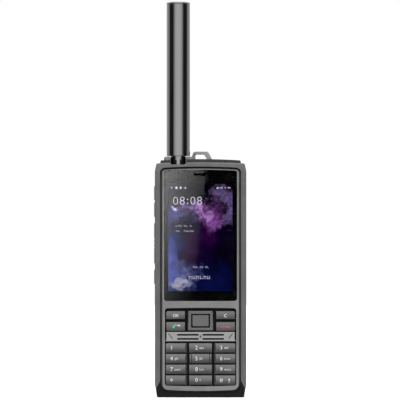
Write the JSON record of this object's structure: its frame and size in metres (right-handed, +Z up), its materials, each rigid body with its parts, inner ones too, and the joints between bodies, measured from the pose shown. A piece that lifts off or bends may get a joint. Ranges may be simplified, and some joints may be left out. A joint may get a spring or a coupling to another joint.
{
  "type": "satellite phone",
  "caption": "Bar-shaped satellite handset with a folding rod antenna, a glass-covered display, a keypad with a navigation ring, side keys and a lanyard loop.",
  "frame": {"origin": "middle of the flat bottom that the phone stands on", "axes": "+Z up along the body and the raised antenna, -Y out of the screen, +X to the viewer's right"},
  "size_m": [0.0656, 0.0272, 0.2818],
  "materials": {
    "frame_metal": "satin",
    "bezel_metal": "satin",
    "housing_plastic": "fine texture",
    "cap_plastic": "satin",
    "antenna_gloss": "polished",
    "key_plastic": "satin",
    "glass": "clear",
    "screen": "lit",
    "strip_metal": "brushed",
    "loop_metal": "satin",
    "black_rubber": "matt",
    "board": "solder mask",
    "shield_metal": "satin",
    "copper": "satin",
    "steel": "satin",
    "battery_wrap": "printed film"
  },
  "bodies": {
    "handset": {"battery": "battery_wrap", "bezel_gasket": "black_rubber", "bottom_cap": "cap_plastic", "charge_port": "steel", "cover_glass": "glass", "display_chassis": "shield_metal", "display_panel": "screen", "earpiece_mesh": "cap_plastic", "earpiece_speaker": "cap_plastic", "front_bezel": "bezel_metal", "hinge_bracket": "frame_metal", "hinge_pin": "steel", "hinge_washers": "black_rubber", "housing_gasket": "black_rubber", "housing_screws": "steel", "inner_screws": "steel", "key_board": "board", "keypad_mat": "black_rubber", "lanyard_loop": "loop_metal", "loudspeaker": "cap_plastic", "main_board": "board", "metal_strip": "strip_metal", "microphone": "steel", "outer_frame": "frame_metal", "rear_housing": "housing_plastic", "shield_cans": "shield_metal", "top_cap": "cap_plastic", "top_cap_end": "cap_plastic", "vibration_motor": "steel"},
    "antenna": {"antenna_radome": "antenna_gloss", "antenna_tip": "antenna_gloss", "antenna_base": "antenna_gloss", "antenna_former": "cap_plastic", "antenna_helix": "copper", "antenna_feed": "copper"},
    "nav_carrier": {"nav_carrier": "cap_plastic"},
    "nav_ring": {"nav_ring": "key_plastic"},
    "centre_key": {"centre_key": "key_plastic"},
    "volume_rocker": {"volume_rocker": "key_plastic"},
    "ptt_key": {"ptt_key": "key_plastic"},
    "side_key": {"side_key": "key_plastic"},
    "battery_cover": {"battery_cover": "housing_plastic"},
    "cover_lock": {"cover_lock": "steel"},
    "port_cover": {"port_cover": "black_rubber"},
    "key_1": {"key_1": "key_plastic"},
    "key_2": {"key_2": "key_plastic"},
    "key_3": {"key_3": "key_plastic"},
    "key_4": {"key_4": "key_plastic"},
    "key_5": {"key_5": "key_plastic"},
    "key_6": {"key_6": "key_plastic"},
    "key_7": {"key_7": "key_plastic"},
    "key_8": {"key_8": "key_plastic"},
    "key_9": {"key_9": "key_plastic"},
    "key_star": {"key_star": "key_plastic"},
    "key_0": {"key_0": "key_plastic"},
    "key_hash": {"key_hash": "key_plastic"},
    "soft_key_left": {"soft_key_left": "key_plastic"},
    "soft_key_right": {"soft_key_right": "key_plastic"},
    "call_key": {"call_key": "key_plastic"},
    "end_key": {"end_key": "key_plastic"}
  },
  "joints": [
    {"name": "key_1_press", "type": "slide", "parent": "handset", "child": "key_1", "axis": [0, 1, 0], "range_m": [0, 0.0004], "stiffness_N_per_m": 900},
    {"name": "key_2_press", "type": "slide", "parent": "handset", "child": "key_2", "axis": [0, 1, 0], "range_m": [0, 0.0004], "stiffness_N_per_m": 900},
    {"name": "key_3_press", "type": "slide", "parent": "handset", "child": "key_3", "axis": [0, 1, 0], "range_m": [0, 0.0004], "stiffness_N_per_m": 900},
    {"name": "key_4_press", "type": "slide", "parent": "handset", "child": "key_4", "axis": [0, 1, 0], "range_m": [0, 0.0004], "stiffness_N_per_m": 900},
    {"name": "key_5_press", "type": "slide", "parent": "handset", "child": "key_5", "axis": [0, 1, 0], "range_m": [0, 0.0004], "stiffness_N_per_m": 900},
    {"name": "key_6_press", "type": "slide", "parent": "handset", "child": "key_6", "axis": [0, 1, 0], "range_m": [0, 0.0004], "stiffness_N_per_m": 900},
    {"name": "key_7_press", "type": "slide", "parent": "handset", "child": "key_7", "axis": [0, 1, 0], "range_m": [0, 0.0004], "stiffness_N_per_m": 900},
    {"name": "key_8_press", "type": "slide", "parent": "handset", "child": "key_8", "axis": [0, 1, 0], "range_m": [0, 0.0004], "stiffness_N_per_m": 900},
    {"name": "key_9_press", "type": "slide", "parent": "handset", "child": "key_9", "axis": [0, 1, 0], "range_m": [0, 0.0004], "stiffness_N_per_m": 900},
    {"name": "key_star_press", "type": "slide", "parent": "handset", "child": "key_star", "axis": [0, 1, 0], "range_m": [0, 0.0004], "stiffness_N_per_m": 900},
    {"name": "key_0_press", "type": "slide", "parent": "handset", "child": "key_0", "axis": [0, 1, 0], "range_m": [0, 0.0004], "stiffness_N_per_m": 900},
    {"name": "key_hash_press", "type": "slide", "parent": "handset", "child": "key_hash", "axis": [0, 1, 0], "range_m": [0, 0.0004], "stiffness_N_per_m": 900},
    {"name": "soft_key_left_press", "type": "slide", "parent": "handset", "child": "soft_key_left", "axis": [0, 1, 0], "range_m": [0, 0.0004], "stiffness_N_per_m": 900},
    {"name": "soft_key_right_press", "type": "slide", "parent": "handset", "child": "soft_key_right", "axis": [0, 1, 0], "range_m": [0, 0.0004], "stiffness_N_per_m": 900},
    {"name": "call_key_press", "type": "slide", "parent": "handset", "child": "call_key", "axis": [0, 1, 0], "range_m": [0, 0.0004], "stiffness_N_per_m": 900},
    {"name": "end_key_press", "type": "slide", "parent": "handset", "child": "end_key", "axis": [0, 1, 0], "range_m": [0, 0.0004], "stiffness_N_per_m": 900},
    {"name": "centre_key_press", "type": "slide", "parent": "handset", "child": "centre_key", "axis": [0, 1, 0], "range_m": [0, 0.0003], "stiffness_N_per_m": 900},
    {"name": "antenna_fold", "type": "hinge", "parent": "handset", "child": "antenna", "pos_m": [-0.0159, 0.004, 0.1652], "axis": [-1, 0, 0], "range_deg": [0, 180]},
    {"name": "nav_up_down", "type": "hinge", "parent": "handset", "child": "nav_carrier", "pos_m": [0, -0.011, 0.0544], "axis": [1, 0, 0], "range_deg": [-2, 2], "stiffness_Nm_per_rad": 0.12},
    {"name": "nav_left_right", "type": "hinge", "parent": "nav_carrier", "child": "nav_ring", "pos_m": [0, -0.0114, 0.0544], "axis": [0, 0, 1], "range_deg": [-2, 2], "stiffness_Nm_per_rad": 0.12},
    {"name": "volume_rock", "type": "hinge", "parent": "handset", "child": "volume_rocker", "pos_m": [-0.0302, 0.0005, 0.1393], "axis": [0, 1, 0], "range_deg": [-1.4, 1.4], "stiffness_Nm_per_rad": 0.3},
    {"name": "ptt_press", "type": "slide", "parent": "handset", "child": "ptt_key", "axis": [1, 0, 0], "range_m": [0, 0.0003], "stiffness_N_per_m": 1200},
    {"name": "side_key_press", "type": "slide", "parent": "handset", "child": "side_key", "axis": [1, 0, 0], "range_m": [0, 0.0003], "stiffness_N_per_m": 1200},
    {"name": "battery_cover_open", "type": "hinge", "parent": "handset", "child": "battery_cover", "pos_m": [0.0116, 0.0135, 0.13675], "axis": [1, 0, 0], "range_deg": [0, 70]},
    {"name": "cover_lock_turn", "type": "hinge", "parent": "battery_cover", "child": "cover_lock", "pos_m": [0.0116, 0.0135, 0.0403], "axis": [0, 1, 0], "range_deg": [0, 90]},
    {"name": "port_cover_open", "type": "hinge", "parent": "handset", "child": "port_cover", "pos_m": [0.0323, 0.002, 0.0275], "axis": [0, -1, 0], "range_deg": [0, 110]}
  ]
}
